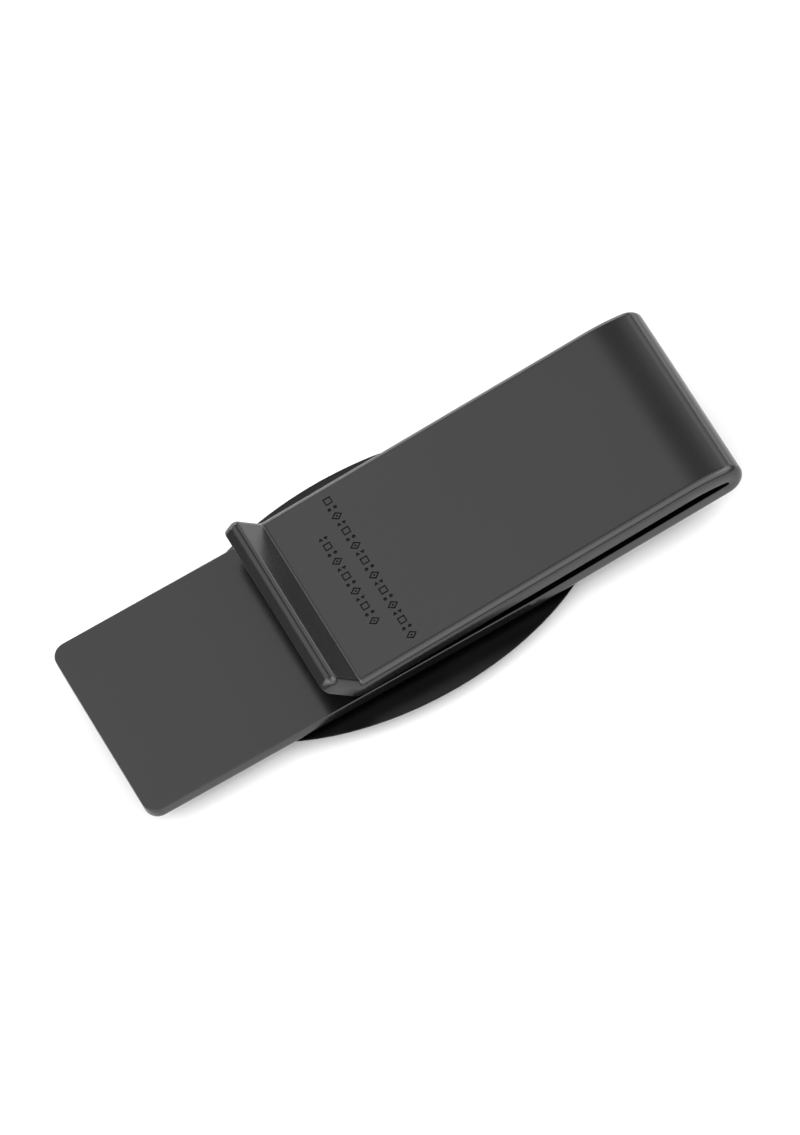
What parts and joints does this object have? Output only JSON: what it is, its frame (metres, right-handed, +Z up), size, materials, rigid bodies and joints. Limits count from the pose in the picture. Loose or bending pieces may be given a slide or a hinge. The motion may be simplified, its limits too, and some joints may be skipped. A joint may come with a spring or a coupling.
{
  "type": "money clip",
  "caption": "Money clip of one folded spring-steel strip in satin black plating, with a turned-up finger lip and an oval enamelled emblem under its front plate.",
  "frame": {"origin": "under the middle of the clip's bounding box, on the plane that the emblem's rim rests on", "axes": "+X along the clip from the plate's free end to the fold, +Y across the strip, +Z up from the emblem to the spring tongue"},
  "size_m": [0.057, 0.0244, 0.0077],
  "materials": {
    "strip_plating": "satin",
    "emblem_plating": "gloss",
    "black_enamel": "gloss",
    "slate_enamel": "gloss",
    "solder": "satin"
  },
  "bodies": {
    "root": {"front_plate": "strip_plating", "fold_bend": "strip_plating", "solder_bond": "solder", "emblem_base": "emblem_plating", "enamel_border": "black_enamel", "enamel_field": "slate_enamel"},
    "tongue": {"spring_tongue": "strip_plating", "finger_lip": "strip_plating"}
  },
  "joints": [
    {"name": "tongue_flex", "type": "hinge", "parent": "root", "child": "tongue", "pos_m": [0.02675, 0, 0.0046], "axis": [0, 1, 0], "range_deg": [0, 6], "stiffness_Nm_per_rad": 2, "deforming": ["fold_bend"]}
  ]
}
